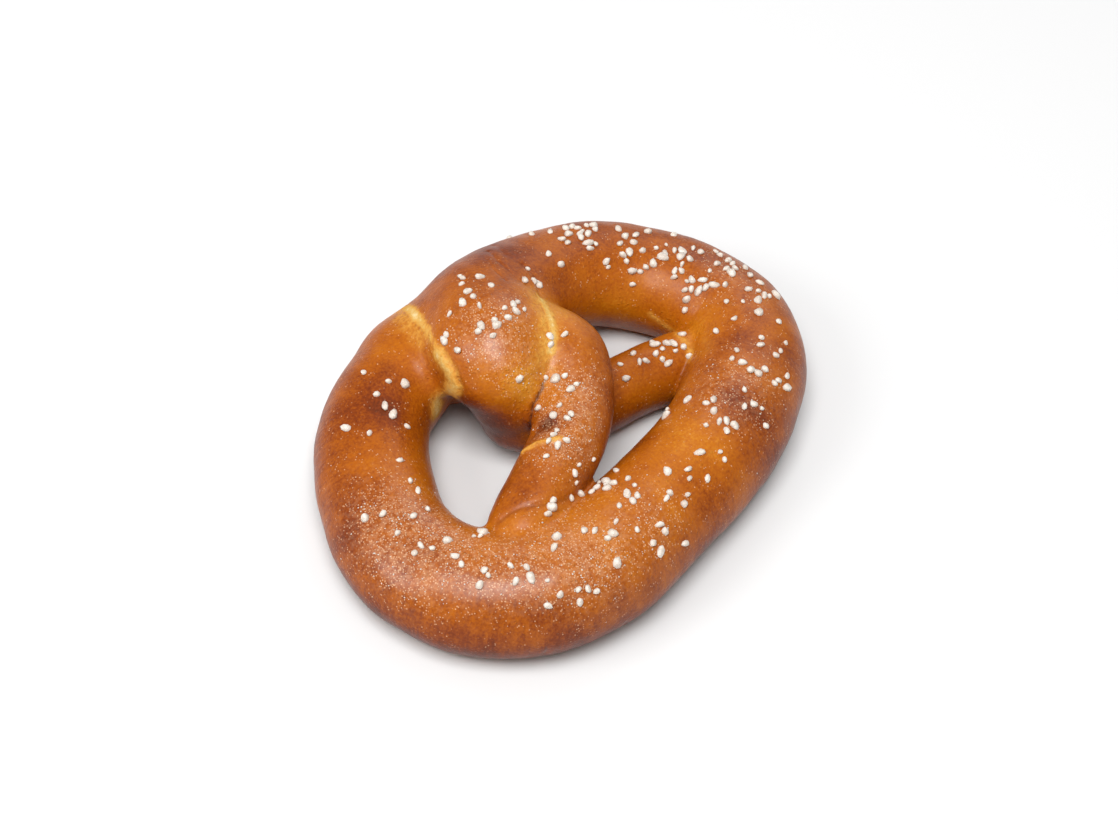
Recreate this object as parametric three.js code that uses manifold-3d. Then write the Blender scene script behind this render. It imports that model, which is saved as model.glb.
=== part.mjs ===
// Soft pretzel: a rope of dough looped, twisted once, folded over itself and baked,
// with coarse salt pressed into its top.
// Millimetres, +Z up. The pretzel lies flat on z = 0, its two lobes to -X and +X,
// its belly towards -Y and its knot towards +Y.

import * as THREE from 'three';
import { mergeVertices } from 'three/addons/utils/BufferGeometryUtils.js';
import Module from 'manifold-3d';

const wasm = await Module();
wasm.setup();

// The rope from the end of the left arm to the end of its big fold over the knot:
// [x, y, height of the middle, half width, half height] of each station.
const rope = [
  [-33.6, -23.7, 18.0, 9.0, 8.0],
  [-21.6, -16.9, 20.0, 9.2, 9.0],
  [-9.6, -9.9, 22.0, 9.8, 9.5],
  [0.0, -0.2, 23.5, 10.4, 9.8],
  [4.6, 10.6, 24.8, 11.0, 11.0],
  [0.2, 24.0, 21.5, 11.8, 12.0],
  [-8.6, 35.0, 13.6, 13.4, 13.0],
  [-19.6, 39.4, 13.0, 13.8, 13.8],
  [-29.6, 35.3, 12.6, 13.8, 14.0],
  [-39.1, 30.4, 12.0, 14.0, 13.8],
  [-46.5, 22.9, 11.2, 14.4, 13.4],
  [-54.1, 9.3, 10.7, 15.0, 13.2],
  [-58.6, -5.2, 10.7, 15.6, 13.4],
  [-57.6, -17.2, 10.9, 16.0, 13.8],
  [-50.6, -29.2, 11.2, 16.7, 14.2],
  [-38.1, -36.9, 11.4, 16.8, 14.4],
  [-20.6, -38.7, 11.4, 16.8, 14.4],
  [0.4, -34.7, 11.2, 16.0, 14.2],
  [21.4, -28.7, 11.2, 15.9, 14.2],
  [37.9, -20.9, 11.2, 15.8, 14.2],
  [51.9, -9.2, 11.0, 16.2, 14.0],
  [59.6, 5.3, 10.7, 15.0, 13.2],
  [56.9, 17.8, 10.8, 15.1, 13.4],
  [48.9, 29.8, 11.0, 15.2, 13.4],
  [37.4, 37.8, 13.0, 15.4, 13.2],
  [24.4, 40.5, 15.6, 15.0, 13.0],
  [10.4, 39.5, 19.6, 15.5, 13.2],
  [-3.6, 34.8, 24.4, 15.6, 13.6],
  [-9.1, 24.7, 27.6, 15.6, 14.0],
  [-10.9, 15.8, 25.4, 14.2, 13.4],
  [-10.6, 12.2, 19.8, 11.0, 11.5],
];

// Where the rope is parted into stretches that don't cross themselves, as station numbers.
const ropeCuts = [0, 12, 21, 30];

// The right arm comes out from under the fold, passes below the left arm and ends on the right lobe.
const rightArm = [
  [-9.6, 10.3, 12.5, 9.5, 9.5],
  [-2.6, 5.8, 10.0, 9.5, 9.5],
  [9.4, 4.3, 9.0, 9.0, 9.5],
  [23.4, 3.8, 8.5, 8.6, 9.4],
  [35.4, 2.3, 8.5, 8.6, 9.4],
  [45.4, 0.3, 8.5, 8.4, 9.0],
];

// Mesh detail of the rope: faces around it, length of a face along it and rings in each round end.
const sidesAround = 20;
const stepAlong = 5;
const endRings = 4;

// Points closer than this are one point.
const mergeReach = 1e-4;

// A closed sweep along the stations from one station number to another. The ends of the
// whole rope are round, as a rolled rope's are, and where it is parted they are flat.
function ropeStretch(stations, from, to) {
  const middle = new THREE.CatmullRomCurve3(stations.map(([x, y, z]) => new THREE.Vector3(x, y, z)));
  const halves = new THREE.CatmullRomCurve3(stations.map(([, , , w, h]) => new THREE.Vector3(w, h, 0)));
  const last = stations.length - 1;
  const start = from / last;
  const end = to / last;
  const rings = [];
  const addRing = (t, scale, forward) => {
    const tangent = middle.getTangent(t);
    const side = new THREE.Vector3(0, 0, 1).cross(tangent).normalize();
    const up = tangent.clone().cross(side);
    const half = halves.getPoint(t);
    const centre = middle.getPoint(t).addScaledVector(tangent, forward * half.x);
    const ring = [];
    for (let i = 0; i < sidesAround; i += 1) {
      const angle = (i / sidesAround) * Math.PI * 2;
      ring.push(centre.clone()
        .addScaledVector(side, Math.cos(angle) * half.x * scale)
        .addScaledVector(up, Math.sin(angle) * half.y * scale));
    }
    rings.push(ring);
  };
  const turns = Array.from({ length: endRings - 1 }, (_, i) => ((i + 1) / endRings) * Math.PI / 2);
  if (from === 0) {
    turns.forEach((turn) => addRing(start, Math.sin(turn), -Math.cos(turn)));
  }
  const steps = Math.round(middle.getLength() * (end - start) / stepAlong);
  for (let i = 0; i <= steps; i += 1) {
    addRing(start + (end - start) * (i / steps), 1, 0);
  }
  if (to === last) {
    turns.forEach((turn) => addRing(end, Math.cos(turn), Math.sin(turn)));
  }
  return closedSweep(rings);
}

// Joins a list of equal rings into one closed, outward-facing geometry.
function closedSweep(rings) {
  const points = rings.flat();
  const around = rings[0].length;
  const faces = [];
  for (let r = 0; r + 1 < rings.length; r += 1) {
    for (let i = 0; i < around; i += 1) {
      const a = r * around + i;
      const b = r * around + (i + 1) % around;
      faces.push(a, b, b + around, a, b + around, a + around);
    }
  }
  const last = (rings.length - 1) * around;
  const centreOf = (ring) => ring.reduce((sum, p) => sum.add(p), new THREE.Vector3()).divideScalar(around);
  const startCentre = points.push(centreOf(rings[0])) - 1;
  const endCentre = points.push(centreOf(rings[rings.length - 1])) - 1;
  for (let i = 0; i < around; i += 1) {
    const next = (i + 1) % around;
    faces.push(startCentre, next, i, endCentre, last + i, last + next);
  }
  const geometry = new THREE.BufferGeometry().setFromPoints(points);
  geometry.setIndex(faces);
  return geometry;
}

function toSolid(geometry) {
  const bare = geometry.clone();
  bare.deleteAttribute('normal');
  bare.deleteAttribute('uv');
  const merged = mergeVertices(bare, mergeReach);
  const vertProperties = new Float32Array(merged.attributes.position.array);
  const triVerts = new Uint32Array(merged.index.array);
  return new wasm.Manifold(new wasm.Mesh({ numProp: 3, vertProperties, triVerts }));
}

function toGeometry(solid) {
  const { vertProperties, triVerts } = solid.getMesh();
  const geometry = new THREE.BufferGeometry();
  geometry.setAttribute('position', new THREE.BufferAttribute(vertProperties, 3));
  geometry.setIndex(new THREE.BufferAttribute(triVerts, 1));
  geometry.computeVertexNormals();
  return geometry;
}

const ropeStretches = ropeCuts.slice(1).map((cut, i) => ropeStretch(rope, ropeCuts[i], cut));
const dough = [...ropeStretches, ropeStretch(rightArm, 0, rightArm.length - 1)]
  .map(toSolid)
  .reduce((whole, stretch) => whole.add(stretch));

// The dough baked flat where it lay on the tray: a block under z = 0 cuts its underside.
const blockWidth = 400;
const blockDepth = 60;
const trayBlock = new THREE.BoxGeometry(blockWidth, blockWidth, blockDepth).translate(0, 0, -blockDepth / 2);
const flatDough = dough.subtract(toSolid(trayBlock));

// Coarse salt, by where it fell thickest: [x, y, spread, grains].
const saltFalls = [
  [48, 27, 10, 6],
  [53, 14, 9, 5],
  [36, 40, 9, 4],
  [60, 1, 8, 3],
  [48, -19, 9, 3],
  [27, -26, 8, 2],
  [-10, -38, 13, 5],
  [-42, -41, 9, 3],
  [-59, -8, 10, 3],
  [-40, 26, 7, 2],
  [-15, -20, 6, 2],
  [-9, 21, 6, 3],
  [-6, 35, 5, 3],
  [-4, 2, 6, 2],
  [30, 3, 5, 2],
];
// Half sizes of a grain, the share of its half height that its middle stands above the crust,
// and its clearance all round in its dimple.
const grainHalves = new THREE.Vector3(1.1, 0.95, 0.85);
const grainProud = 0.35;
const grainClearance = 0.3;

// A grain's flat faces stand nearer to its middle than its corners do, by this ratio.
const faceToCorner = 0.79;

// Grains fall from well above the knot, each turned by the golden angle from the one before.
const fallHeight = 100;
const goldenAngle = Math.PI * (3 - Math.sqrt(5));

const salt = new THREE.MeshStandardMaterial({ color: 0xf1ece6, roughness: 0.6, metalness: 0 });
const grainShape = new THREE.IcosahedronGeometry(1, 0);

function grainGeometry(extra) {
  return grainShape.clone().scale(grainHalves.x + extra, grainHalves.y + extra, grainHalves.z + extra);
}

// Lets each grain fall straight down on the dough and beds it square to the crust.
function layGrains(surface) {
  const ray = new THREE.Raycaster();
  const down = new THREE.Vector3(0, 0, -1);
  const up = new THREE.Vector3(0, 0, 1);
  const grains = [];
  for (const [x, y, spread, count] of saltFalls) {
    for (let i = 0; i < count; i += 1) {
      const angle = i * goldenAngle + x;
      const reach = spread * Math.sqrt((i + 0.5) / count);
      ray.set(new THREE.Vector3(x + reach * Math.cos(angle), y + reach * Math.sin(angle), fallHeight), down);
      const [hit] = ray.intersectObject(surface);
      const grain = new THREE.Mesh(grainGeometry(0), salt);
      grain.name = `salt_grain_${String(grains.length + 1).padStart(2, '0')}`;
      grain.position.copy(hit.point).addScaledVector(hit.face.normal, grainHalves.z * grainProud);
      grain.quaternion.setFromUnitVectors(up, hit.face.normal);
      grain.rotateZ(angle);
      grains.push(grain);
    }
  }
  return grains;
}

const crust = new THREE.MeshStandardMaterial({ color: 0xa5612a, roughness: 0.5, metalness: 0 });
const grains = layGrains(new THREE.Mesh(toGeometry(flatDough), crust));

// Each grain sits in a dimple of its own, a little wider than the grain.
const dimples = grains.map((grain) => {
  grain.updateMatrix();
  return toSolid(grainGeometry(grainClearance / faceToCorner).applyMatrix4(grain.matrix));
});
const saltedDough = dimples.reduce((left, dimple) => left.subtract(dimple), flatDough);

const pretzel = new THREE.Mesh(toGeometry(saltedDough), crust);
pretzel.name = 'pretzel';

const softPretzel = new THREE.Group();
softPretzel.add(pretzel, ...grains);

export default softPretzel;
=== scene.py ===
import math

import bmesh
import bpy
import numpy as np
from mathutils import Matrix, Vector, noise
from mathutils.bvhtree import BVHTree


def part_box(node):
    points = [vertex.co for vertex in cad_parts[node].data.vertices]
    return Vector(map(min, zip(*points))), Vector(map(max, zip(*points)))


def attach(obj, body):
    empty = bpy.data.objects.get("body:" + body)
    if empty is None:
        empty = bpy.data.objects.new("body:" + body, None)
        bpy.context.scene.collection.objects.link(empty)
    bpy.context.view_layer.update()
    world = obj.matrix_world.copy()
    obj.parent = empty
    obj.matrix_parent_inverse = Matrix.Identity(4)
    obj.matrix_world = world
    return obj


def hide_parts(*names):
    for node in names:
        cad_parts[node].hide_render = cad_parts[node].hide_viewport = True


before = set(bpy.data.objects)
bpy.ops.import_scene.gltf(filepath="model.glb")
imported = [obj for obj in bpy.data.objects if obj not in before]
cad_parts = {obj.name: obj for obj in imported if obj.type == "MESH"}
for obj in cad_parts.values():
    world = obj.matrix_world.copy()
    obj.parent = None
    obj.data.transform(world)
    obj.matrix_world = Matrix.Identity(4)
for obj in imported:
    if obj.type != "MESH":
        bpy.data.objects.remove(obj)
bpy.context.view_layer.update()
mm = 0.001
scene = bpy.context.scene
print("frame loaded")


# camera, floor and light

cameraSettings = {
    "place": (-0.2762, -0.2991, 0.5004),
    "lookAt": (0.0078, 0.0135, 0.0),
    "rollDegrees": 6.2,
    "lens": 79.05,
    "sensorWidth": 36.0,
    "clipStart": 0.01,
}

studio = {
    "floorSize": 6.0,
    "floorTone": 0.80,
    "floorRoughness": 0.6,
    "floorSpecular": 0.25,
    "skyTone": 0.95,
    "skyStrength": 0.38,
    "lightsLookAt": (0, 0, 0.02),
}

# Softboxes: where they stand, how wide they are and how bright.
softboxes = {
    "mainSoftbox": {"at": (-0.32, -0.22, 1.10), "width": 0.6, "power": 11.4},
    "fillSoftbox": {"at": (-0.79, 0.20, 0.62), "width": 0.42, "power": 3.2},
    "rimSoftbox": {"at": (0.75, 0.45, 0.60), "width": 0.7, "power": 2.2},
}


def turnTowards(place, target, roll=0.0):
    turned = (Vector(target) - Vector(place)).to_track_quat("-Z", "Y").to_matrix().to_4x4()
    return Matrix.Translation(Vector(place)) @ turned @ Matrix.Rotation(roll, 4, "Z")


def makeCamera():
    data = bpy.data.cameras.new("camera")
    data.lens = cameraSettings["lens"]
    data.sensor_width = cameraSettings["sensorWidth"]
    data.clip_start = cameraSettings["clipStart"]
    camera = bpy.data.objects.new("camera", data)
    roll = math.radians(cameraSettings["rollDegrees"])
    camera.matrix_world = turnTowards(cameraSettings["place"], cameraSettings["lookAt"], roll)
    scene.collection.objects.link(camera)
    scene.camera = camera


def makeStudio():
    half = studio["floorSize"] / 2
    mesh = bpy.data.meshes.new("floor")
    corners = [(-half, -half, 0), (half, -half, 0), (half, half, 0), (-half, half, 0)]
    mesh.from_pydata(corners, [], [(0, 1, 2, 3)])
    floor = bpy.data.objects.new("floor", mesh)
    scene.collection.objects.link(floor)
    material = bpy.data.materials.new("paleFloor")
    material.use_nodes = True
    shader = material.node_tree.nodes["Principled BSDF"]
    tone = studio["floorTone"]
    shader.inputs["Base Color"].default_value = (tone, tone, tone, 1)
    shader.inputs["Roughness"].default_value = studio["floorRoughness"]
    shader.inputs["Specular IOR Level"].default_value = studio["floorSpecular"]
    mesh.materials.append(material)

    world = bpy.data.worlds.new("studio")
    world.use_nodes = True
    sky = world.node_tree.nodes["Background"]
    sky.inputs["Color"].default_value = (studio["skyTone"],) * 3 + (1,)
    sky.inputs["Strength"].default_value = studio["skyStrength"]
    scene.world = world

    for name, box in softboxes.items():
        light = bpy.data.lights.new(name, "AREA")
        light.size = box["width"]
        light.energy = box["power"]
        lamp = bpy.data.objects.new(name, light)
        lamp.matrix_world = turnTowards(box["at"], studio["lightsLookAt"])
        scene.collection.objects.link(lamp)
    scene.view_settings.view_transform = "Standard"


makeCamera()
makeStudio()
print("camera, floor and lights made")


# the rope of dough

# Stations of the rope from the end of the left arm to the end of the big fold, in mm:
# x, y, height of the middle, half width, half height.
rope = [
    (-33.6, -23.7, 18.0, 9.0, 8.0),
    (-21.6, -16.9, 20.0, 9.2, 9.0),
    (-9.6, -9.9, 22.0, 9.8, 9.5),
    (0.0, -0.2, 23.5, 10.4, 9.8),
    (4.6, 10.6, 24.8, 11.0, 11.0),
    (0.2, 24.0, 21.5, 11.8, 12.0),
    (-8.6, 35.0, 13.6, 13.4, 13.0),
    (-19.6, 39.4, 13.0, 13.8, 13.8),
    (-29.6, 35.3, 12.6, 13.8, 14.0),
    (-39.1, 30.4, 12.0, 14.0, 13.8),
    (-46.5, 22.9, 11.2, 14.4, 13.4),
    (-54.1, 9.3, 10.7, 15.0, 13.2),
    (-58.6, -5.2, 10.7, 15.6, 13.4),
    (-57.6, -17.2, 10.9, 16.0, 13.8),
    (-50.6, -29.2, 11.2, 16.7, 14.2),
    (-38.1, -36.9, 11.4, 16.8, 14.4),
    (-20.6, -38.7, 11.4, 16.8, 14.4),
    (0.4, -34.7, 11.2, 16.0, 14.2),
    (21.4, -28.7, 11.2, 15.9, 14.2),
    (37.9, -20.9, 11.2, 15.8, 14.2),
    (51.9, -9.2, 11.0, 16.2, 14.0),
    (59.6, 5.3, 10.7, 15.0, 13.2),
    (56.9, 17.8, 10.8, 15.1, 13.4),
    (48.9, 29.8, 11.0, 15.2, 13.4),
    (37.4, 37.8, 13.0, 15.4, 13.2),
    (24.4, 40.5, 15.6, 15.0, 13.0),
    (10.4, 39.5, 19.6, 15.5, 13.2),
    (-3.6, 34.8, 24.4, 15.6, 13.6),
    (-9.1, 24.7, 27.6, 15.6, 14.0),
    (-10.9, 15.8, 25.4, 14.2, 13.4),
    (-10.6, 12.2, 19.8, 11.0, 11.5),
]
rightArm = [
    (-9.6, 10.3, 12.5, 9.5, 9.5),
    (-2.6, 5.8, 10.0, 9.5, 9.5),
    (9.4, 4.3, 9.0, 9.0, 9.5),
    (23.4, 3.8, 8.5, 8.6, 9.4),
    (35.4, 2.3, 8.5, 8.6, 9.4),
    (45.4, 0.3, 8.5, 8.4, 9.0),
]

# Stretches of the rope, by station number.
stretches = {
    "leftArm": (rope, 0, 5),
    "leftTop": (rope, 5, 12),
    "belly": (rope, 12, 21),
    "fold": (rope, 21, 30),
    "rightArm": (rightArm, 0, 5),
}

# How softly two stretches grow together where they touch, in mm.
touches = {
    ("leftTop", "fold"): 9.0,
    ("leftArm", "belly"): 1.9,
    ("leftArm", "rightArm"): 1.0,
    ("rightArm", "belly"): 1.5,
    ("rightArm", "fold"): 1.2,
    ("leftTop", "rightArm"): 2.0,
}

# The line that the left arm ends along, on the belly, in mm.
armEndLine = [(-42, -19.5, 18), (-39.4, -21.6, 23.8), (-34.4, -22.8, 26.2), (-28.8, -25.6, 26.3),
              (-22.9, -26.2, 24.7), (-14.3, -23.7, 19.7)]

# The crust's making: lengths are in mm.
crustSettings = {
    "voxel": 0.95,
    "settleRounds": 3,
    "longestStep": 1.5,
    "sampleStep": 1.2,  # between the points that are read along the rope
    "baseRound": 3.0,  # where the sides meet the flat base
    "baseFade": 4.0,  # the swellings fade out below this height
    "fineReach": 7.0,  # faces this near a groove or a mark are cut in four
    "armSkin": {"tight": 0.5, "softer": 6.5, "from": 0.60, "over": 0.28},  # by share of the arm's length
    "foldEnd": {"at": (-14.0, 9.0, 20.0), "reach": 13.0},
    "armEnd": {"strength": 0.15, "reach": 3.5},
    "easeRounds": 24,
    "easeStep": 0.6,
    "wrinklesPerMm": 0.9,
    "wrinkleReach": 0.14,
    "wrinkleShift": 7.0,  # keeps two stretches from having the same wrinkles
    "torn": [(0.9, 11), (2.2, 12)],  # size and seed of the unevenness of a pale mark
    "tornHeight": 0.1,
    "creaseSharpness": 1.5,
    # How dark the crust baked, from 0 for golden to 1 for dark brown. Patches are size, strength and seed.
    # The darkening of faces that turn down is mostly painted shade, and that of the outer sides is painted
    # shade.
    "bakingAndShade": {"start": 0.52, "top": 0.10, "below": 0.42, "belowFrom": 0.1, "outsideShade": 0.06,
               "outerWallShade": 0.20, "patches": [(17.0, 0.12, 21), (6.5, 0.08, 22)]},
    # Fibres run round the rope. They show most on its outer side and stop where two stretches meet.
    "grain": {"least": 0.2, "most": 0.9, "outerGain": 1.3, "outerFrom": 0.25, "fade": 2.0},
    # Dust thins out down the sides, and the floury underside shows near the base.
    "dustSides": {"gain": 2.0, "top": 0.7},
    "under": {"gain": 1.6, "from": 0.3, "height": 3.5, "fade": 2.0},
}

# Soft swellings of the whole rope: how wide and how high they are, in mm, and their seed.
swellings = [(26.0, 0.75, 3), (11.0, 0.30, 4), (4.5, 0.09, 5)]

# Lines pressed into the crust (or raised from it, with a negative depth), in mm. A line that names
# two stretches follows the seam between them as far as it runs near the line. Shade is how much
# painted shade darkens its bottom, 1 where it isn't given.
grooves = [
    {"line": [(10.5, 49, 30), (9, 42, 33.5), (11, 37, 32.8)], "depth": 0.22, "width": 0.8},
    {"line": [(11, 37, 32.8), (11.5, 31.5, 31.8), (8, 24.5, 34)], "depth": 0.5, "width": 1.0},
    {"line": [(6.5, 46, 32.5), (5, 40, 35), (5.5, 34, 36)], "depth": 0.35, "width": 0.6},
    {"line": [(3.3, 44, 33.5), (1.5, 38, 36.3), (1.2, 31.5, 38)], "depth": 0.3, "width": 0.6},
    {"line": [(-8.5, 3.2, 29.5), (-12, 1.4, 26), (-13.5, 0.4, 23), (-15, -0.2, 19)],
     "depth": 0.8, "width": 0.65, "between": ("leftArm", "fold"), "near": 4.0},
    {"line": [(-16.5, -5.4, 26.5), (-14.4, -6.8, 28.4), (-12.9, -8.8, 30.6)],
     "depth": 0.9, "width": 2.8, "shade": 0.25},
    {"line": [(-23, -8.6, 25.5), (-20.1, -10.2, 28.7), (-17.9, -12.0, 30.1), (-15.2, -13.4, 30.9)],
     "depth": -0.6, "width": 1.0},
    {"line": [(-24.7, 28.4, 32.8), (-26.2, 20.5, 31), (-27, 16.5, 28), (-27, 18, 22)],
     "depth": -0.8, "width": 2.4},
    {"line": [(-23.4, 24, 33.2), (-24, 18.5, 32), (-24.8, 15, 29), (-25, 14, 24)],
     "depth": 0.5, "width": 0.9},
    {"line": [(-25.3, 14.1, 30.6), (-23.9, 9.2, 28.5)], "depth": -0.5, "width": 0.9},
    {"line": [(38, 8, 17.5), (38, 1, 18), (34, -5, 14)],
     "depth": 0.5, "width": 1.2, "between": ("rightArm", "belly"), "near": 6.5},
    {"line": armEndLine, "depth": 0.45, "width": 1.0},
    {"line": [(-47, -51.5, 6), (-46, -50.5, 13), (-44, -48.5, 18)], "depth": 0.35, "width": 0.7},
    {"line": [(-25, -55, 6), (-24.5, -54, 13), (-23, -51.5, 18)], "depth": 0.35, "width": 0.7},
]

# Pale marks, where the skin stretched open as the dough rose: the line each follows, how wide it
# is and how strong. The largest have a wide faint one round them.
stretchMarks = [
    {"line": [(-17, 50, 20), (-19.9, 44.2, 28.2), (-21.9, 38, 30.9), (-23.5, 32.2, 32.7), (-24.9, 27.5, 32.8),
              (-26.2, 19.6, 30.6)],
     "width": 1.7, "strength": 0.86},
    {"line": [(-25.6, 24.9, 32), (-26.4, 19.6, 30.4), (-26.8, 16.9, 28), (-26.6, 18, 24), (-26.8, 20, 19),
              (-27.5, 21, 15)],
     "width": 2.9, "strength": 0.92},
    {"line": [(-18.5, 50, 18), (-22, 43, 27.4), (-24.4, 36, 31), (-26.5, 28, 32), (-28, 21, 30)],
     "width": 4.4, "strength": 0.40},
    {"line": [(7, 25, 34), (5.2, 20.5, 36.4), (3.6, 15.8, 36.7), (1.4, 11.6, 35.8), (-2, 8.2, 34)],
     "width": 1.6, "strength": 0.80},
    {"line": [(6, 24, 35), (3, 18, 37.4), (0, 12, 36.4), (-6, 6.4, 33)], "width": 4.2, "strength": 0.42},
    {"line": [(-23, -8.9, 25.9), (-20.1, -10.4, 28.7), (-17.9, -12.3, 30.1), (-15.2, -13.8, 30.7)],
     "width": 1.0, "strength": 0.56},
    {"line": [(-25.3, 14.1, 30.6), (-23.9, 9.2, 28.5)], "width": 0.9, "strength": 0.50},
    {"line": [(40.3, 17.1, 14), (41.8, 14.5, 12.7), (43.2, 10.8, 11.3)], "width": 1.3, "strength": 0.36},
    {"line": [(40.4, 7.5, 16.8), (39.6, 3.4, 18.4), (38.9, -1.1, 17.8), (37.4, -3.8, 16.5)],
     "width": 1.6, "strength": 0.5},
    {"line": [(43, 6, 19), (42, 0, 20.4), (39.8, -6, 20.4)], "width": 4.6, "strength": 0.20},
]

# Where the oven browned the crust more or less, and (the last one) painted shade in the hollow on the arm:
# place and reach in mm, and the change of tone.
bakedSpots = [
    {"at": (-19, 8, 32), "reach": 12, "tone": -0.16},
    {"at": (-9, 3, 30), "reach": 8, "tone": -0.16},
    {"at": (-24, 30, 33), "reach": 8, "tone": -0.16},
    {"at": (8, 20, 33), "reach": 9, "tone": -0.22},
    {"at": (39, 21, 17), "reach": 14, "tone": -0.16},
    {"at": (-35, -25, 25), "reach": 10, "tone": -0.22},
    {"at": (42, 3, 19), "reach": 7, "tone": -0.28},
    {"at": (-22, -36, 25), "reach": 15, "tone": -0.12},
    {"at": (12, -31, 25), "reach": 14, "tone": -0.12},
    {"at": (-41, 22, 23), "reach": 9, "tone": 0.32},
    {"at": (45.7, -10.4, 24.7), "reach": 6, "tone": 0.16},
    {"at": (33, -27, 25.3), "reach": 8, "tone": 0.14},
    {"at": (8.2, -19.7, 20), "reach": 6, "tone": 0.18},
    {"at": (58, 22, 25), "reach": 18, "tone": 0.12},
    {"at": (6, 47, 28), "reach": 11, "tone": 0.24},
    {"at": (-24, 4, 20), "reach": 8, "tone": 0.25},
    {"at": (-30, -20, 25), "reach": 7, "tone": 0.16},
    # Painted shade in the hollow on the arm.
    {"at": (-14.4, -7, 28.6), "reach": 3.4, "tone": 0.40},
]

# Patches of fine blisters and salt dust, which also carry a painted sheen where the highlight falls: place
# and reach in mm, and strength.
dustAndSheenSpots = [
    {"at": (-14, 17, 40), "reach": 12, "strength": 1.0},
    {"at": (-7, -4, 31), "reach": 11, "strength": 1.0},
    {"at": (-13, -14, 30), "reach": 10, "strength": 0.9},
    {"at": (-62, -8, 23), "reach": 14, "strength": 1.0},
    {"at": (-60, -22, 24), "reach": 13, "strength": 1.0},
    {"at": (-46, -38, 25), "reach": 10, "strength": 0.7},
    {"at": (-30, -46, 24), "reach": 14, "strength": 1.0},
    {"at": (-8, -44, 24), "reach": 10, "strength": 0.5},
    {"at": (36, -23, 25), "reach": 14, "strength": 0.6},
    {"at": (60, 10, 24), "reach": 13, "strength": 0.4},
]


def curvePoints(stations, first, last, step):
    # Centripetal Catmull-Rom through the stations, like the one the frame is swept along.
    knots = np.array(stations, float)
    knots = np.vstack([2 * knots[0] - knots[1], knots, 2 * knots[-1] - knots[-2]])
    rows = []
    for i in range(first, last):
        a, b, c, d = knots[i:i + 4]
        pairs = ((a, b), (b, c), (c, d))
        ab, bc, cd = (max(np.linalg.norm(q[:3] - p[:3]) ** 0.5, 1e-4) for p, q in pairs)
        leave = ((b - a) / ab - (c - a) / (ab + bc) + (c - b) / bc) * bc
        arrive = ((c - b) / bc - (d - b) / (bc + cd) + (d - c) / cd) * bc
        count = max(2, round(np.linalg.norm(c[:3] - b[:3]) / step))
        for t in np.arange(count) / count:
            t2, t3 = t * t, t * t * t
            rows.append((2 * t3 - 3 * t2 + 1) * b + (t3 - 2 * t2 + t) * leave
                        + (3 * t2 - 2 * t3) * c + (t3 - t2) * arrive)
    rows.append(knots[last + 1])
    return np.array(rows)


def unit(v):
    return v / np.linalg.norm(v, axis=-1, keepdims=True)


def makeStretch(stations, first, last):
    rows = curvePoints(stations, first, last, crustSettings["sampleStep"])
    middle = rows[:, :3]
    tangent = unit(np.gradient(middle, axis=0))
    side = unit(np.cross((0.0, 0.0, 1.0), tangent))
    return {"middle": middle, "tangent": tangent, "side": side, "up": np.cross(tangent, side),
            "halves": rows[:, 3:5]}


ropeStretches = {name: makeStretch(*spec) for name, spec in stretches.items()}


def stretchField(points, stretch):
    # Signed distance in mm to one stretch of the rope, and how far along it each point lies (0 to 1).
    middle = stretch["middle"]
    count = len(middle)
    apart = (middle ** 2).sum(1)[None] - 2 * points @ middle.T
    nearest = apart.argmin(1)
    along = ((points - middle[nearest]) * stretch["tangent"][nearest]).sum(1)
    gap = np.linalg.norm(np.gradient(middle, axis=0), axis=1)[nearest]
    at = np.clip(nearest + along / gap, 0, count - 1)
    low = np.minimum(at.astype(int), count - 2)
    part = (at - low)[:, None]

    def blend(values):
        return values[low] * (1 - part) + values[low + 1] * part

    away = points - blend(middle)
    across = (away * blend(stretch["side"])).sum(1)
    upward = (away * blend(stretch["up"])).sum(1)
    beyond = (away * blend(stretch["tangent"])).sum(1)
    halfWidth, halfHeight = blend(stretch["halves"]).T
    reach = np.sqrt(across ** 2 + upward ** 2 + beyond ** 2) + 1e-6
    widths = (across / halfWidth) ** 2 + (upward / halfHeight) ** 2 + (beyond / halfWidth) ** 2
    scaled = np.sqrt(widths) + 1e-6
    return reach - reach / scaled, at / (count - 1)


def growTogether(a, b, softness):
    share = np.clip(1 - np.abs(a - b) / softness, 0, 1)
    return np.minimum(a, b) - share ** 2 * softness / 4


def doughField(points):
    fields = {}
    places = {}
    for name, stretch in ropeStretches.items():
        fields[name], places[name] = stretchField(points, stretch)
    surface = np.minimum.reduce(list(fields.values()))
    for (a, b), softness in touches.items():
        surface = np.minimum(surface, growTogether(fields[a], fields[b], softness))
    # The left arm leaves the fold over a soft skin and ends in a tight crease.
    skin = crustSettings["armSkin"]
    leaving = np.clip((places["leftArm"] - skin["from"]) / skin["over"], 0, 1)
    softness = skin["tight"] + skin["softer"] * leaving
    surface = np.minimum(surface, growTogether(fields["leftArm"], fields["fold"], softness))
    return surface, fields, places


def ropeWay(points, fields, places):
    # Coordinates that run along the rope and around it, stretched so that noise on them makes fine
    # wrinkles around the rope.
    names = list(fields)
    nearest = np.array([fields[name] for name in names]).argmin(0)
    way = np.zeros((len(points), 3))
    for number, name in enumerate(names):
        mine = nearest == number
        stretch = ropeStretches[name]
        row = np.rint(places[name][mine] * (len(stretch["middle"]) - 1)).astype(int)
        away = points[mine] - stretch["middle"][row]
        across = (away * stretch["side"][row]).sum(1)
        upward = (away * stretch["up"][row]).sum(1)
        length = len(stretch["middle"]) * crustSettings["sampleStep"]
        way[mine, 0] = places[name][mine] * length * crustSettings["wrinklesPerMm"]
        way[mine, 1] = np.arctan2(across, upward) * stretch["halves"][row, 0] * crustSettings["wrinkleReach"]
        way[mine, 2] = crustSettings["wrinkleShift"] * number
    return way


def flattened(surface, points):
    return -growTogether(-surface, points[:, 2], crustSettings["baseRound"])


def crustField(points):
    return flattened(doughField(points)[0], points)


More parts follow.
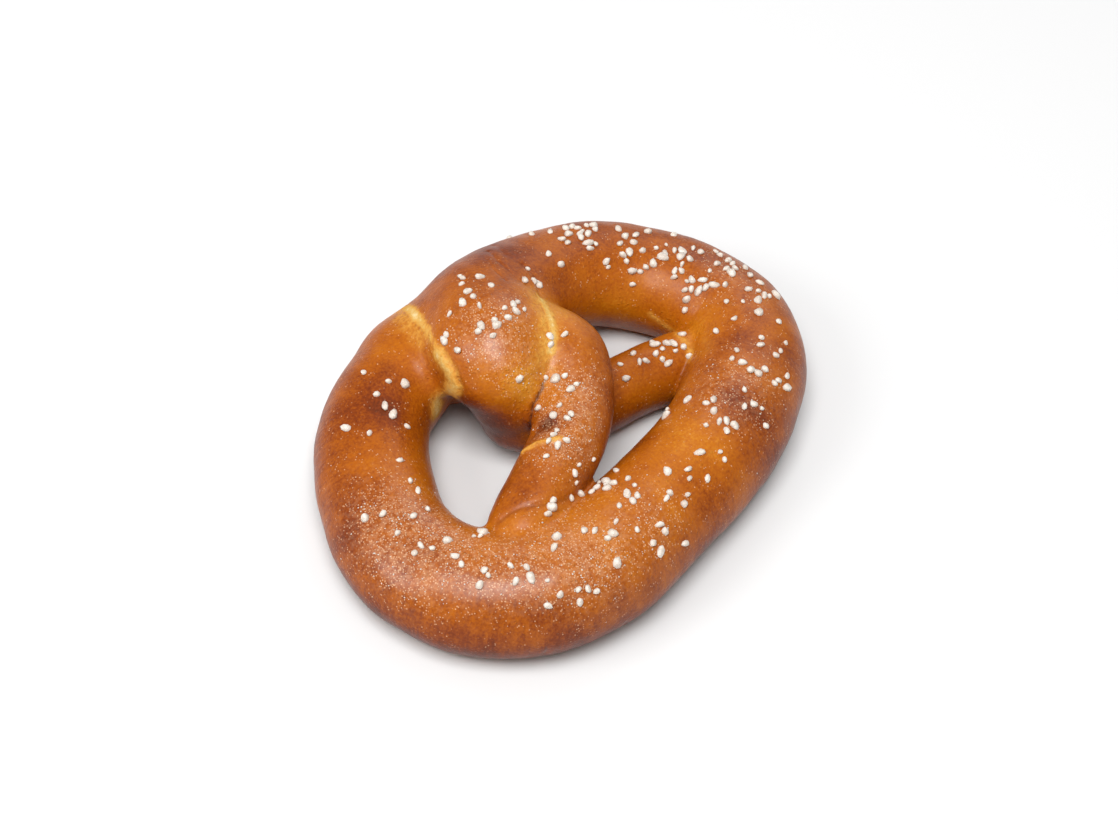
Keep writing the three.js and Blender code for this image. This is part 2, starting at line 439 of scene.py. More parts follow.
def settle(points, rounds):
    # Moves each point square to the surface until it lies on it.
    nudge = 0.15
    leastSlope = 0.15
    for _ in range(rounds):
        here = crustField(points)
        slope = np.stack([(crustField(points + nudge * axis) - here) / nudge for axis in np.eye(3)], 1)
        size = np.maximum((slope ** 2).sum(1), leastSlope)
        step = (here / size)[:, None] * slope
        length = np.linalg.norm(step, axis=1, keepdims=True)
        points = points - step * np.minimum(1, crustSettings["longestStep"] / np.maximum(length, 1e-9))
    return points


def lineDistance(points, line):
    # Distance in mm from each point to a line of straight pieces.
    best = np.full(len(points), 1e9)
    corners = np.array(line, float)
    for a, b in zip(corners[:-1], corners[1:]):
        along = np.clip((points - a) @ (b - a) / ((b - a) @ (b - a)), 0, 1)
        best = np.minimum(best, np.linalg.norm(points - a - along[:, None] * (b - a), axis=1))
    return best


def bump(distance, reach):
    return np.exp(-(distance / reach) ** 2)


def followed(points, fields, feature):
    # 1 on the feature's line, or on the seam near it, fading to 0 beside it.
    away = lineDistance(points, feature["line"])
    if "between" not in feature:
        return bump(away, feature["width"])
    first, second = feature["between"]
    across = fields[first] - fields[second]
    return bump(across, feature["width"]) * bump(away, feature["near"])


def spotSum(points, spots, key):
    return sum(spot[key] * bump(np.linalg.norm(points - np.array(spot["at"], float), axis=1), spot["reach"])
               for spot in spots)


def smoothNoise(points, size, seed):
    shift = Vector((seed * 7.31, seed * 3.17, seed * 5.59))
    return np.array([noise.noise(Vector(p) / size + shift) for p in points])


def meshFrom(obj):
    evaluated = obj.evaluated_get(bpy.context.evaluated_depsgraph_get())
    return bpy.data.meshes.new_from_object(evaluated)


def coordinates(mesh):
    values = np.empty(len(mesh.vertices) * 3)
    mesh.vertices.foreach_get("co", values)
    return values.reshape(-1, 3)


def setCoordinates(mesh, points):
    mesh.vertices.foreach_set("co", points.astype(float).ravel())
    mesh.update()


def normalsOf(mesh):
    values = np.empty(len(mesh.vertices) * 3)
    mesh.vertex_normals.foreach_get("vector", values)
    return values.reshape(-1, 3)


def addFloats(mesh, name, values):
    layer = mesh.attributes.new(name, "FLOAT", "POINT")
    layer.data.foreach_set("value", np.asarray(values, float))


def weldedCopy(node):
    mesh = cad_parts[node].data.copy()
    mesh.materials.clear()
    shape = bmesh.new()
    shape.from_mesh(mesh)
    bmesh.ops.remove_doubles(shape, verts=shape.verts, dist=1e-6)
    bmesh.ops.recalc_face_normals(shape, faces=shape.faces)
    shape.to_mesh(mesh)
    shape.free()
    return mesh


def eased(mesh, points, weight, rounds):
    # Evens the points out against their neighbours, by weight.
    edges = np.empty(len(mesh.edges) * 2, int)
    mesh.edges.foreach_get("vertices", edges)
    a, b = edges.reshape(-1, 2).T
    degree = np.bincount(edges, minlength=len(points))[:, None]
    for _ in range(rounds):
        total = np.zeros_like(points)
        np.add.at(total, a, points[b])
        np.add.at(total, b, points[a])
        points = points + crustSettings["easeStep"] * weight[:, None] * (total / degree - points)
    return points


def fineAreas(points):
    near = np.zeros(len(points), bool)
    for feature in grooves + stretchMarks:
        near |= lineDistance(points, feature["line"]) < crustSettings["fineReach"]
    return near


def remeshed(mesh, name):
    start = bpy.data.objects.new("crustStart", mesh)
    scene.collection.objects.link(start)
    remesh = start.modifiers.new("remesh", "REMESH")
    remesh.mode = "VOXEL"
    remesh.voxel_size = crustSettings["voxel"] * mm
    result = meshFrom(start)
    bpy.data.objects.remove(start)
    result.name = name
    return result


def makeCrust():
    mesh = remeshed(weldedCopy("pretzel"), "roughCrust")
    setCoordinates(mesh, settle(coordinates(mesh) / mm, crustSettings["settleRounds"]) * mm)
    mesh = remeshed(mesh, "crust")
    points = settle(coordinates(mesh) / mm, crustSettings["settleRounds"])
    foldEnd = crustSettings["foldEnd"]
    armEnd = crustSettings["armEnd"]
    aroundFold = bump(np.linalg.norm(points - foldEnd["at"], axis=1), foldEnd["reach"])
    aroundArm = armEnd["strength"] * bump(lineDistance(points, armEndLine), armEnd["reach"])
    points = eased(mesh, points, np.maximum(aroundFold, aroundArm), crustSettings["easeRounds"])
    setCoordinates(mesh, points)

    shape = bmesh.new()
    shape.from_mesh(mesh)
    near = fineAreas(points)
    fineFaces = [face for face in shape.faces if all(near[v.index] for v in face.verts)]
    fineEdges = list({edge for face in fineFaces for edge in face.edges})
    bmesh.ops.subdivide_edges(shape, edges=fineEdges, cuts=1, use_grid_fill=True)
    bmesh.ops.triangulate(shape, faces=[face for face in shape.faces if len(face.verts) > 4])
    shape.to_mesh(mesh)
    shape.free()

    points = coordinates(mesh)
    outward = normalsOf(mesh)
    fields, places = doughField(points)[1:]
    lift = sum(height * smoothNoise(points, size, seed) for size, height, seed in swellings)
    lift *= np.clip(points[:, 2] / crustSettings["baseFade"], 0, 1)
    creaseShading = np.zeros(len(points))
    for groove in grooves:
        pressed = followed(points, fields, groove)
        lift -= groove["depth"] * pressed
        # Painted shade in the bottom of each pressed groove.
        shade = groove.get("shade", 1) * np.clip(groove["depth"], 0, 1)
        creaseShading = np.maximum(creaseShading, shade * pressed ** crustSettings["creaseSharpness"])
    pale = np.max([mark["strength"] * followed(points, fields, mark) for mark in stretchMarks], axis=0)
    torn = sum(smoothNoise(points, size, seed) for size, seed in crustSettings["torn"])
    lift += crustSettings["tornHeight"] * pale ** 2 * torn
    grainWay = ropeWay(points, fields, places)
    points = points + lift[:, None] * outward
    points[:, 2] = np.maximum(points[:, 2], 0)

    upward = outward[:, 2]
    outer = np.clip((outward[:, :2] * unit(points[:, :2])).sum(1), 0, 1)
    bakingAndShade = crustSettings["bakingAndShade"]
    sides = crustSettings["dustSides"]
    under = crustSettings["under"]
    tone = bakingAndShade["start"] + bakingAndShade["top"] * np.clip(upward, 0, 1) + spotSum(points, bakedSpots, "tone")
    tone += sum(strength * smoothNoise(points, size, seed) for size, strength, seed in bakingAndShade["patches"])
    # Painted shade: mostly painted shade on faces that turn down, and painted shade on the outer sides, most
    # where they face sideways.
    tone += bakingAndShade["below"] * np.clip(-upward + bakingAndShade["belowFrom"], 0, 1)
    tone += bakingAndShade["outsideShade"] * outer + bakingAndShade["outerWallShade"] * outer * (1 - np.clip(upward, 0, 1))
    nearest, second = np.sort(np.array(list(fields.values())), axis=0)[:2]
    grain = crustSettings["grain"]
    shown = grain["least"] + grain["most"] * np.clip(outer * grain["outerGain"] - grain["outerFrom"], 0, 1)
    # Salt dust and blisters, with a painted sheen where the highlight falls, only on what faces up.
    dustAndSheen = np.clip(spotSum(points, dustAndSheenSpots, "strength"), 0, 1) * np.clip(upward, 0, 1)
    nearBase = np.clip((under["height"] - points[:, 2]) / under["fade"], 0, 1)
    addFloats(mesh, "grain", shown * np.clip((second - nearest) / grain["fade"], 0, 1))
    addFloats(mesh, "tone", tone)
    addFloats(mesh, "pale", pale)
    addFloats(mesh, "creaseShade", creaseShading)
    addFloats(mesh, "dustAndSheen", dustAndSheen)
    addFloats(mesh, "facingUp", np.clip(upward * sides["gain"] + sides["top"], 0, 1))
    addFloats(mesh, "under", np.clip(-upward * under["gain"] - under["from"], 0, 1) * nearBase)
    layer = mesh.attributes.new("grainWay", "FLOAT_VECTOR", "POINT")
    layer.data.foreach_set("vector", grainWay.ravel())
    setCoordinates(mesh, points * mm)
    mesh.shade_smooth()
    crust = bpy.data.objects.new("crust", mesh)
    scene.collection.objects.link(crust)
    return crust


crust = makeCrust()
print("crust made:", sum(len(face.vertices) - 2 for face in crust.data.polygons), "triangles")


# shader helpers

def tint(red, green, blue):
    # Everyday 0-255 colour values, as the linear colour that a socket takes.
    parts = [value / 255 for value in (red, green, blue)]
    return tuple(((part + 0.055) / 1.055) ** 2.4 for part in parts) + (1.0,)


def feed(tree, socket, value):
    if isinstance(value, bpy.types.NodeSocket):
        tree.links.new(value, socket)
    else:
        socket.default_value = value


def addNode(tree, kind, inputs=None, **settings):
    made = tree.nodes.new(kind)
    for name, value in settings.items():
        setattr(made, name, value)
    for key, value in (inputs or {}).items():
        feed(tree, made.inputs[key], value)
    return made


def calc(tree, operation, *values):
    return addNode(tree, "ShaderNodeMath", dict(enumerate(values)), operation=operation).outputs[0]


def total(tree, *values):
    result = values[0]
    for value in values[1:]:
        result = calc(tree, "ADD", result, value)
    return result


def times(tree, *values):
    result = values[0]
    for value in values[1:]:
        result = calc(tree, "MULTIPLY", result, value)
    return result


def swing(tree, value, strength):
    # A value that runs from 0 to 1, made to swing around 0.
    return calc(tree, "MULTIPLY_ADD", value, strength, -strength / 2)


def noiseOf(tree, place, size, detail, roughness=0.5):
    inputs = {"Vector": place, "Scale": 1 / size, "Detail": detail, "Roughness": roughness}
    return addNode(tree, "ShaderNodeTexNoise", inputs).outputs["Fac"]


def cellsOf(tree, place, size):
    return addNode(tree, "ShaderNodeTexVoronoi", {"Vector": place, "Scale": 1 / size}).outputs


def rescale(tree, value, low, high, toLow=0.0, toHigh=1.0, easing="SMOOTHSTEP"):
    inputs = {"Value": value, "From Min": low, "From Max": high, "To Min": toLow, "To Max": toHigh}
    return addNode(tree, "ShaderNodeMapRange", inputs, interpolation_type=easing).outputs["Result"]


def blend(tree, factor, first, second):
    return addNode(tree, "ShaderNodeMix", {0: factor, 6: first, 7: second}, data_type="RGBA").outputs[2]


def ramp(tree, factor, stops):
    made = addNode(tree, "ShaderNodeValToRGB", {"Fac": factor})
    points = made.color_ramp.elements
    while len(points) < len(stops):
        points.new(1.0)
    for point, (position, colour) in zip(points, stops):
        point.position = position
        point.color = tint(*colour)
    return made.outputs["Color"]


def attribute(tree, name, output="Fac"):
    return addNode(tree, "ShaderNodeAttribute", attribute_name=name).outputs[output]


def newMaterial(name):
    material = bpy.data.materials.new(name)
    material.use_nodes = True
    return material, material.node_tree, material.node_tree.nodes["Principled BSDF"]


mottleSettings = {"detail": 2.0, "roughness": 0.55, "limits": (0.28, 0.72)}


def makeMottle():
    # Soft blotches of one size, 0 to 1: the crust's browning and the cloudiness of the salt.
    tree = bpy.data.node_groups.new("mottle", "ShaderNodeTree")
    tree.interface.new_socket("Place", in_out="INPUT", socket_type="NodeSocketVector")
    tree.interface.new_socket("Size", in_out="INPUT", socket_type="NodeSocketFloat")
    tree.interface.new_socket("Seed", in_out="INPUT", socket_type="NodeSocketFloat")
    tree.interface.new_socket("Mask", in_out="OUTPUT", socket_type="NodeSocketFloat")
    start = tree.nodes.new("NodeGroupInput")
    scale = calc(tree, "DIVIDE", 1.0, start.outputs["Size"])
    inputs = {"Vector": start.outputs["Place"], "W": start.outputs["Seed"], "Scale": scale,
              "Detail": mottleSettings["detail"], "Roughness": mottleSettings["roughness"]}
    cloud = addNode(tree, "ShaderNodeTexNoise", inputs, noise_dimensions="4D")
    mask = rescale(tree, cloud.outputs["Fac"], *mottleSettings["limits"])
    addNode(tree, "NodeGroupOutput", {"Mask": mask})
    return tree


mottleGroup = makeMottle()


def mottle(tree, place, size, seed):
    inputs = {"Place": place, "Size": size * mm, "Seed": seed}
    return addNode(tree, "ShaderNodeGroup", inputs, node_tree=mottleGroup).outputs["Mask"]


# baked crust

# Sizes are in mm. A pair of limits is where an effect starts and where it is full. Patches are a
# size and a seed, and three values are size, strength and seed.
crustLook = {
    "baked": [(0.00, (224, 166, 66)), (0.20, (207, 136, 34)), (0.42, (186, 104, 11)), (0.62, (166, 84, 8)),
              (0.82, (126, 53, 8)), (1.00, (90, 36, 10))],
    "crumb": [(0.00, (200, 126, 36)), (0.40, (213, 150, 62)), (0.70, (218, 174, 96)),
              (0.95, (232, 206, 152))],
    # Salt dust, paled further as a painted sheen.
    "dustAndSheen": (236, 192, 152),
    # Painted shade in the groove bottoms.
    "creaseShade": (72, 27, 12),
    "under": (158, 92, 38),
    "blotches": [(15.0, 0.12, 1.0), (5.0, 0.08, 2.0), (1.4, 0.05, 3.0)],
    "fibres": {"detail": 3.0, "tone": 0.30, "height": 0.22},
    "peel": {"size": 0.7, "detail": 3.0, "tone": -0.40, "height": 0.15},
    "torn": {"size": 0.9, "detail": 4.0, "roughness": 0.65, "height": 0.35},
    "blisters": {"size": 0.85, "top": (0.05, 0.45), "patches": (3.2, 5.0), "patchLimits": (0.35, 0.85),
                 "inDust": 0.8, "tone": -0.07, "height": 0.13},
    "specks": {"size": 0.58, "limits": (0.14, 0.46), "patches": (2.6, 8.0), "patchShare": 0.75,
               "fewer": -0.48, "inDust": 1.1, "kept": (0.84, 1.0), "strength": 0.58, "height": 0.05,
               "roughness": 0.2},
    "dustSheenVeil": {"patches": (1.2, 10.0), "limits": (0.25, 0.9), "strength": 0.17},
    "opened": {"ragged": [(0.9, 0.22, 6.0), (3.4, 0.20, 7.0)], "raggedLimits": (0.02, 0.4),
               "crumbLimits": (0.15, 1.0), "limits": (0.04, 0.55), "matteLimits": (0.2, 0.7)},
    "creaseShading": {"limits": (0.15, 1.0), "wherePale": -0.85},
    "underStrength": 0.75,
    "gloss": {"roughness": 0.33, "patches": (4.0, 9.0), "uneven": 0.14, "matte": 0.34},
    "coat": 0.25,
    "coatInDust": 0.62,
    "coatRoughness": 0.30,
    "specular": 0.10,
}


def bakedAndShadedTone(tree, place, fibres, peel, blistered):
    # How dark each spot baked, with the painted shade that the tone attribute already holds.
    tone = attribute(tree, "tone")
    for size, strength, seed in crustLook["blotches"]:
        tone = total(tree, tone, swing(tree, mottle(tree, place, size, seed), strength))
    alongRope = times(tree, attribute(tree, "grain"), swing(tree, fibres, crustLook["fibres"]["tone"]))
    tone = total(tree, tone, alongRope, times(tree, blistered, crustLook["blisters"]["tone"]))
    return total(tree, tone, swing(tree, peel, crustLook["peel"]["tone"]))


def blisters(tree, place, dustAndSheen):
    look = crustLook["blisters"]
    top = rescale(tree, cellsOf(tree, place, look["size"] * mm)["Distance"], *look["top"], 1.0, 0.0)
    patchy = rescale(tree, mottle(tree, place, *look["patches"]), *look["patchLimits"])
    return times(tree, top, total(tree, times(tree, dustAndSheen, look["inDust"]), patchy))


def saltDust(tree, place, dustAndSheen):
    # Fine specks, more of them in the dusty patches and none on what faces down.
    look = crustLook["specks"]
    specks = cellsOf(tree, place, look["size"] * mm)
    dots = rescale(tree, specks["Distance"], *look["limits"], 1.0, 0.0)
    chosen = addNode(tree, "ShaderNodeSeparateColor", {"Color": specks["Color"]}).outputs["Red"]
    clouds = mottle(tree, place, *look["patches"])
    patchy = calc(tree, "MULTIPLY_ADD", clouds, look["patchShare"], look["fewer"])
    thick = total(tree, times(tree, dustAndSheen, look["inDust"]), patchy)
    kept = rescale(tree, total(tree, chosen, thick), *look["kept"])
    return times(tree, dots, kept, attribute(tree, "facingUp"))


def openedSkin(tree, place, pale):
    # Where the skin stretched open, ragged at its edges.
    look = crustLook["opened"]
    ragged = total(tree, *[swing(tree, mottle(tree, place, size, seed), strength)
                           for size, strength, seed in look["ragged"]])
    return total(tree, pale, times(tree, ragged, rescale(tree, pale, *look["raggedLimits"])))


def makeCrustMaterial():
    look = crustLook
    fibreLook, peelLook, tornLook = (look[key] for key in ("fibres", "peel", "torn"))
    speckLook, dustSheenVeil, openedLook, gloss = (look[key] for key in ("specks", "dustSheenVeil", "opened", "gloss"))
    material, tree, shader = newMaterial("bakedCrust")
    place = addNode(tree, "ShaderNodeTexCoord").outputs["Object"]
    pale, creaseShade, dustAndSheen, under = (attribute(tree, name) for name in ("pale", "creaseShade", "dustAndSheen", "under"))
    fibres = noiseOf(tree, attribute(tree, "grainWay", "Vector"), 1.0, fibreLook["detail"])
    peel = noiseOf(tree, place, peelLook["size"] * mm, peelLook["detail"])
    torn = noiseOf(tree, place, tornLook["size"] * mm, tornLook["detail"], tornLook["roughness"])
    blistered = blisters(tree, place, dustAndSheen)
    dusted = saltDust(tree, place, dustAndSheen)
    opened = openedSkin(tree, place, pale)

    colour = ramp(tree, bakedAndShadedTone(tree, place, fibres, peel, blistered), look["baked"])
    # The dust patches lighten the colour: partly salt dust and blisters, partly a painted sheen.
    cloudy = rescale(tree, mottle(tree, place, *dustSheenVeil["patches"]), *dustSheenVeil["limits"], 0.0, dustSheenVeil["strength"])
    colour = blend(tree, times(tree, dustAndSheen, cloudy), colour, tint(*look["dustAndSheen"]))
    colour = blend(tree, times(tree, dusted, speckLook["strength"]), colour, tint(*look["dustAndSheen"]))
    crumb = ramp(tree, rescale(tree, opened, *openedLook["crumbLimits"], easing="LINEAR"), look["crumb"])
    colour = blend(tree, rescale(tree, opened, *openedLook["limits"]), colour, crumb)
    # Painted shade in the groove bottoms, less where the skin is pale.
    shadowed = times(tree, rescale(tree, creaseShade, *look["creaseShading"]["limits"]),
                     calc(tree, "MULTIPLY_ADD", pale, look["creaseShading"]["wherePale"], 1.0))
    colour = blend(tree, shadowed, colour, tint(*look["creaseShade"]))
    colour = blend(tree, times(tree, under, look["underStrength"]), colour, tint(*look["under"]))
    tree.links.new(colour, shader.inputs["Base Color"])

    matte = calc(tree, "MAXIMUM", rescale(tree, opened, *openedLook["matteLimits"]), under)
    uneven = times(tree, mottle(tree, place, *gloss["patches"]), gloss["uneven"])
    rough = total(tree, gloss["roughness"], uneven, times(tree, matte, gloss["matte"]),
                  times(tree, dusted, speckLook["roughness"]))
    tree.links.new(rough, shader.inputs["Roughness"])
    shine = calc(tree, "MULTIPLY_ADD", dustAndSheen, look["coatInDust"], look["coat"])
    shine = times(tree, shine, calc(tree, "SUBTRACT", 1.0, matte))
    tree.links.new(shine, shader.inputs["Coat Weight"])
    shader.inputs["Coat Roughness"].default_value = look["coatRoughness"]
    shader.inputs["Specular IOR Level"].default_value = look["specular"]

    # Heights in mm: an orange-peel skin, blisters, fibres round the rope, dust and torn crumb.
    height = total(tree, times(tree, peel, peelLook["height"]),
                   times(tree, blistered, look["blisters"]["height"]),
                   times(tree, swing(tree, fibres, fibreLook["height"]), attribute(tree, "grain")),
                   times(tree, dusted, speckLook["height"]),
                   times(tree, torn, times(tree, matte, tornLook["height"])))
    relief = addNode(tree, "ShaderNodeBump", {"Height": height, "Strength": 1.0, "Distance": mm})
    tree.links.new(relief.outputs["Normal"], shader.inputs["Normal"])
    return material


crust.data.materials.append(makeCrustMaterial())
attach(crust, "root")
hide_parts("pretzel")
print("crust baked")


# salt

# Sizes and heights are in mm.
coarseSaltSettings = {
    "grainSize": 1.85,
    "sizeSpread": 0.24,
    "lumpiness": 0.50,
    "shapes": 6,
    "proud": 0.20,  # how much of its half size a grain is raised by
    "seed": 4,
    "fallSpread": 0.62,
    "apart": 0.8,  # least distance between two grains, in grain sizes
    "dropFrom": 200.0,
    "lowest": 6.0,
    "steepest": 0.35,  # how much of the crust's slope must face up
}
fineSaltSettings = {
    "crumbSize": 0.23,
    "sizeSpread": 0.45,
    "lumpiness": 0.5,
    "shapes": 3,
    "crumbsPerSquareCm": 50.0,
    "seed": 5,
    "patchSize": 5,
    "patchDetail": 1.0,
    "patchLimits": (0.45, 0.62),
    "outsidePatches": 0.12,
    "dustPower": 1.5,
}
crystalSettings = {
    "noiseScale": 1.4,
    "noiseStep": 3.7,
    "tilt": 0.5,
    "leastStretch": (0.85, 0.72, 0.62),
    "mostStretch": (1.38, 1.05, 0.92),
    "roundedWidth": 0.78,  # a subdivided cube shrinks to this much of its width
}
saltLook = {
    "cloudy": (206, 192, 178),
    "clear": (233, 225, 214),
    "clouds": (1.3, 1.0),  # size in mm and seed
    "glints": (0.6, 2.0),
    "roughness": (0.28, 0.5),
    "frostSize": 0.5,
    "frostDetail": 2.0,
    "frostHeight": 0.14,
    "refraction": 1.5,
    "glow": 0.35,
    "glowDepth": 0.8,
    "glowReach": (1.0, 0.9, 0.8),
}

# Where the coarse salt fell: x, y and spread in mm, and how many grains.
saltFalls = [
    (44, 30, 9, 24), (55, 20, 7, 22), (34, 41, 7, 12), (20, 43, 8, 7), (64, 11, 5, 10), (50, 13, 6, 8),
    (60, -1, 8, 9), (47, -3, 6, 3), (56, -16, 7, 6), (43, -17, 8, 5), (45, -27, 6, 4), (33, -28, 8, 8),
    (20, -29, 8, 6), (18, -17, 5, 3), (5, -37, 8, 7), (-6, -36, 6, 6), (-9, -48, 5, 5), (-21, -43, 8, 6),
    (-25, -38, 2, 3), (-37, -44, 7, 6), (-46, -39, 4, 5), (-52, -33, 6, 4), (-59, -21, 5, 4),
    (-47, -23, 2, 3), (-60, -8, 9, 5), (-47, 4, 7, 4), (-42, 24, 6, 6), (-38, 34, 6, 2),
    (-27, -25, 1.6, 3), (-17, -24, 2.4, 6), (-11, -27, 2.4, 5), (-5, -29, 5, 3),
    (-14, -13, 5, 4), (-19, -17, 4, 3), (-7, -7, 5, 5), (-3, 3, 4, 4), (3, 14, 5, 3),
    (-5, 20.5, 2.2, 12), (-14, 19, 3, 7), (-14, 31, 5, 6), (-7, 38, 3, 4), (8, 31, 3, 6), (-20, 24, 5, 3),
    (-15, 5, 6, 4), (31, 3, 4.5, 9), (37, 1, 3, 7), (24, 2, 4, 5),
]


def namedTree(name, inputs):
    tree = bpy.data.node_groups.new(name, "GeometryNodeTree")
    tree.interface.new_socket("Geometry", in_out="INPUT", socket_type="NodeSocketGeometry")
    tree.interface.new_socket("Geometry", in_out="OUTPUT", socket_type="NodeSocketGeometry")
    for label, kind in inputs:
        tree.interface.new_socket(label, in_out="INPUT", socket_type=kind)
    return tree


def finishTree(tree, geometry, material):
    real = addNode(tree, "GeometryNodeRealizeInstances", {"Geometry": geometry}).outputs[0]
    painted = addNode(tree, "GeometryNodeSetMaterial", {"Geometry": real, "Material": material}).outputs[0]
    addNode(tree, "NodeGroupOutput", {"Geometry": painted})


def grown(obj, tree, values, name):
    # Runs the tree on an object and returns the result as a plain mesh in a new object.
    modifier = obj.modifiers.new(tree.name, "NODES")
    modifier.node_group = tree
    for item in tree.interface.items_tree:
        if item.name in values:
            modifier[item.identifier] = values[item.name]
    mesh = meshFrom(obj)
    obj.modifiers.remove(modifier)
    mesh.name = name
    made = bpy.data.objects.new(name, mesh)
    scene.collection.objects.link(made)
    return made


def scaledBy(tree, vector, factor):
    return addNode(tree, "ShaderNodeVectorMath", {0: vector, "Scale": factor}, operation="SCALE").outputs[0]


def crystalShapes(tree, lumpiness, levels, count):
    # A few uneven crystals to pick from, rounded if they are subdivided.
    joined = addNode(tree, "GeometryNodeJoinGeometry")
    for variant in range(count):
        cube = addNode(tree, "GeometryNodeMeshCube", {"Size": (1.0, 1.0, 1.0)}).outputs["Mesh"]
        if levels:
            cube = addNode(tree, "GeometryNodeSubdivisionSurface", {"Mesh": cube, "Level": levels}).outputs[0]
        inputs = {"Vector": addNode(tree, "GeometryNodeInputPosition").outputs[0], "Detail": 0.0,
                  "W": variant * crystalSettings["noiseStep"], "Scale": crystalSettings["noiseScale"]}
        uneven = addNode(tree, "ShaderNodeTexNoise", inputs, noise_dimensions="4D").outputs["Color"]
        centred = addNode(tree, "ShaderNodeVectorMath", {0: uneven, 1: (0.5, 0.5, 0.5)}, operation="SUBTRACT")
        offset = scaledBy(tree, centred.outputs[0], lumpiness)
        lump = addNode(tree, "GeometryNodeSetPosition", {"Geometry": cube, "Offset": offset}).outputs[0]
        smooth = addNode(tree, "GeometryNodeSetShadeSmooth", {"Geometry": lump}).outputs[0]
        shape = addNode(tree, "GeometryNodeGeometryToInstance", {"Geometry": smooth}).outputs[0]
        tree.links.new(shape, joined.inputs[0])
    return joined.outputs[0]


def randomValue(tree, kind, low, high, seed):
    made = addNode(tree, "FunctionNodeRandomValue", {"Seed": seed}, data_type=kind)
    lowest, highest = [socket for socket in made.inputs if socket.enabled and socket.name in ("Min", "Max")]
    feed(tree, lowest, low)
    feed(tree, highest, high)
    return [socket for socket in made.outputs if socket.enabled][0]


def grainsOnPoints(tree, points, normal, given, settings, levels):
    # One crystal on each point, lying square to the crust, each turned and sized a little differently.
    seed = given["Seed"]
    tilt = crystalSettings["tilt"]
    upright = addNode(tree, "FunctionNodeAlignRotationToVector", {"Vector": normal}, axis="Z").outputs[0]
    turn = randomValue(tree, "FLOAT_VECTOR", (-tilt, -tilt, -math.pi), (tilt, tilt, math.pi), seed)
    turned = addNode(tree, "FunctionNodeRotateRotation", {0: upright, 1: turn}, rotation_space="LOCAL")
    stretchLimits = (crystalSettings["leastStretch"], crystalSettings["mostStretch"])
    stretched = scaledBy(tree, randomValue(tree, "FLOAT_VECTOR", *stretchLimits, seed), given["Size"])
    smallest = calc(tree, "SUBTRACT", 1.0, given["Size spread"])
    largest = calc(tree, "ADD", 1.0, given["Size spread"])
    size = scaledBy(tree, stretched, randomValue(tree, "FLOAT", smallest, largest, seed))
    inputs = {
        "Points": points,
        "Instance": crystalShapes(tree, given["Lumpiness"], levels, settings["shapes"]),
        "Pick Instance": True,
        "Instance Index": randomValue(tree, "INT", 0, settings["shapes"] - 1, seed),
        "Rotation": turned.outputs[0],
        "Scale": size,
    }
    return addNode(tree, "GeometryNodeInstanceOnPoints", inputs).outputs[0]


def makeSaltMaterial():
    look = saltLook
    material, tree, shader = newMaterial("coarseSaltGrain")
    place = addNode(tree, "ShaderNodeTexCoord").outputs["Object"]
    colour = blend(tree, mottle(tree, place, *look["clouds"]), tint(*look["cloudy"]), tint(*look["clear"]))
    tree.links.new(colour, shader.inputs["Base Color"])
    rough = rescale(tree, mottle(tree, place, *look["glints"]), 0.0, 1.0, *look["roughness"])
    tree.links.new(rough, shader.inputs["Roughness"])
    frost = noiseOf(tree, place, look["frostSize"] * mm, look["frostDetail"])
    inputs = {"Height": frost, "Strength": 1.0, "Distance": look["frostHeight"] * mm}
    relief = addNode(tree, "ShaderNodeBump", inputs)
    tree.links.new(relief.outputs["Normal"], shader.inputs["Normal"])
    shader.inputs["IOR"].default_value = look["refraction"]
    shader.inputs["Subsurface Weight"].default_value = look["glow"]
    shader.inputs["Subsurface Radius"].default_value = look["glowReach"]
    shader.inputs["Subsurface Scale"].default_value = look["glowDepth"] * mm
    return material


saltMaterial = makeSaltMaterial()
saltNodes = [name for name in sorted(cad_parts) if name.startswith("salt_grain")]


def crustTree():
    shape = bmesh.new()
    shape.from_mesh(crust.data)
    tree = BVHTree.FromBMesh(shape)
    shape.free()
    return tree


def dropSeats():
    # Lets each grain fall straight down on the crust, and keeps it clear of the ones that fell before.
    settings = coarseSaltSettings
    surface = crustTree()
    spots = [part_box(name) for name in saltNodes]
    falling = [((Vector(low) + Vector(high)) / 2).xy for low, high in spots]
    dice = np.random.default_rng(settings["seed"])
    for x, y, spread, count in saltFalls:
        for dx, dy in dice.normal(0, settings["fallSpread"] * spread, (count, 2)):
            falling.append(Vector((x + dx, y + dy)) * mm)
    seats = []
    closest = settings["apart"] * settings["grainSize"] * mm
    for spot in falling:
        above = Vector((spot.x, spot.y, settings["dropFrom"] * mm))
        hit, normal, _, _ = surface.ray_cast(above, Vector((0, 0, -1)))
        if hit is None or normal.z < settings["steepest"] or hit.z < settings["lowest"] * mm:
            continue
        if any((hit - other).length < closest for other, _ in seats):
            continue
        seats.append((hit, normal))
    return seats


def saltTree(name, amount=None):
    # The inputs that both sorts of salt take, and the one for how many crumbs there are.
    inputs = [("Size", "NodeSocketFloat"), ("Size spread", "NodeSocketFloat"),
              ("Lumpiness", "NodeSocketFloat"), ("Seed", "NodeSocketInt")]
    if amount:
        inputs.append((amount, "NodeSocketFloat"))
    tree = namedTree(name, inputs)
    return tree, tree.nodes.new("NodeGroupInput").outputs


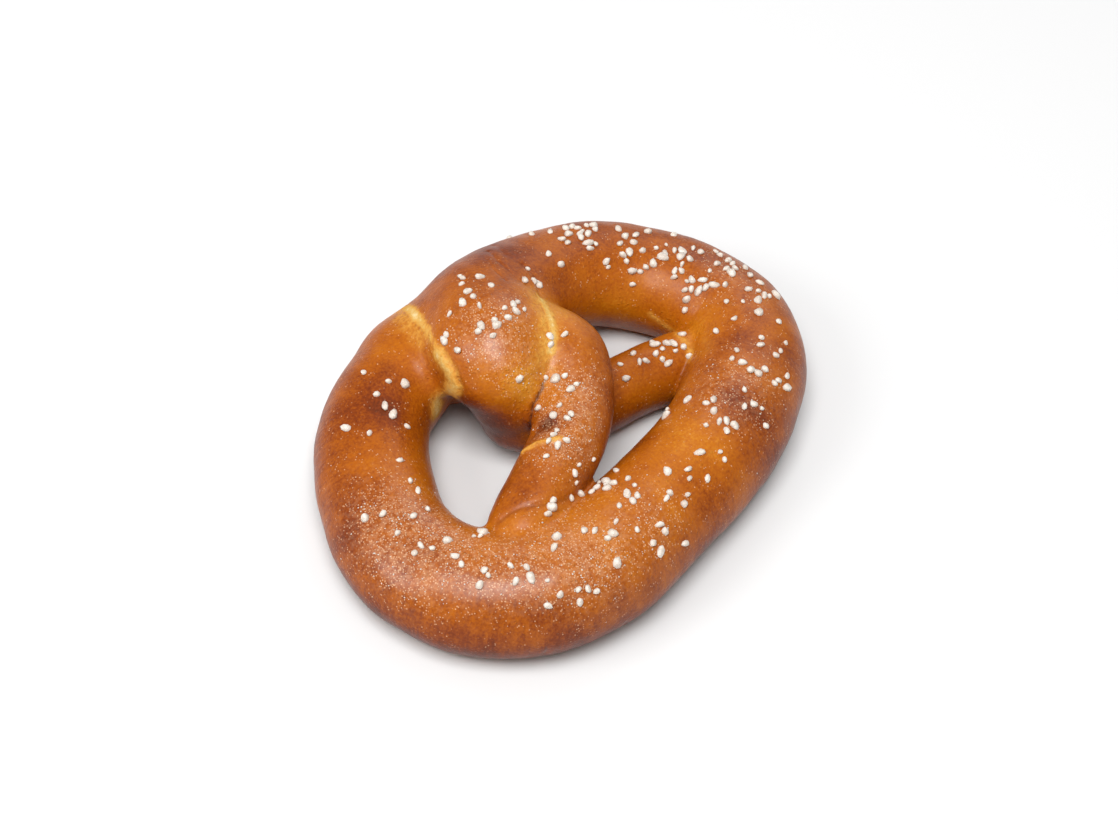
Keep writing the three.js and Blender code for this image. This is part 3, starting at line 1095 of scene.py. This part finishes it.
def makeCoarseSalt():
    settings = coarseSaltSettings
    seats = dropSeats()
    lift = settings["proud"] * settings["grainSize"] / 2 * mm
    mesh = bpy.data.meshes.new("saltSeats")
    mesh.from_pydata([place + normal * lift for place, normal in seats], [], [])
    layer = mesh.attributes.new("outward", "FLOAT_VECTOR", "POINT")
    layer.data.foreach_set("vector", [part for _, normal in seats for part in normal])
    start = bpy.data.objects.new("saltSeats", mesh)
    scene.collection.objects.link(start)

    tree, given = saltTree("saltGrains")
    normal = addNode(tree, "GeometryNodeInputNamedAttribute", {"Name": "outward"}, data_type="FLOAT_VECTOR")
    grains = grainsOnPoints(tree, given["Geometry"], normal.outputs[0], given, settings, 1)
    finishTree(tree, grains, saltMaterial)
    values = {"Size": settings["grainSize"] / crystalSettings["roundedWidth"] * mm,
              "Size spread": settings["sizeSpread"], "Lumpiness": settings["lumpiness"],
              "Seed": settings["seed"]}
    salt = grown(start, tree, values, "coarseSalt")
    bpy.data.objects.remove(start)
    print("coarse salt:", len(seats), "grains")
    return salt


def makeFineSalt():
    settings = fineSaltSettings
    tree, given = saltTree("saltCrumbs", "Crumbs per square metre")
    dustAndSheen = addNode(tree, "GeometryNodeInputNamedAttribute", {"Name": "dustAndSheen"}, data_type="FLOAT").outputs[0]
    position = addNode(tree, "GeometryNodeInputPosition").outputs[0]
    patches = noiseOf(tree, position, settings["patchSize"] * mm, settings["patchDetail"])
    patchy = rescale(tree, patches, *settings["patchLimits"], easing="LINEAR")
    share = times(tree, calc(tree, "POWER", dustAndSheen, settings["dustPower"]),
                  calc(tree, "ADD", patchy, settings["outsidePatches"]))
    density = times(tree, share, given["Crumbs per square metre"])
    inputs = {"Mesh": given["Geometry"], "Density": density, "Seed": given["Seed"]}
    scatter = addNode(tree, "GeometryNodeDistributePointsOnFaces", inputs, distribute_method="RANDOM").outputs
    crumbs = grainsOnPoints(tree, scatter["Points"], scatter["Normal"], given, settings, 0)
    finishTree(tree, crumbs, saltMaterial)
    values = {"Size": settings["crumbSize"] * mm, "Size spread": settings["sizeSpread"],
              "Lumpiness": settings["lumpiness"], "Seed": settings["seed"],
              "Crumbs per square metre": settings["crumbsPerSquareCm"] * 1e4}
    salt = grown(crust, tree, values, "fineSalt")
    print("fine salt:", len(salt.data.polygons), "faces")
    return salt


coarseSalt = makeCoarseSalt()
fineSalt = makeFineSalt()
for salt in (coarseSalt, fineSalt):
    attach(salt, "root")
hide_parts(*saltNodes)
print("salt laid")
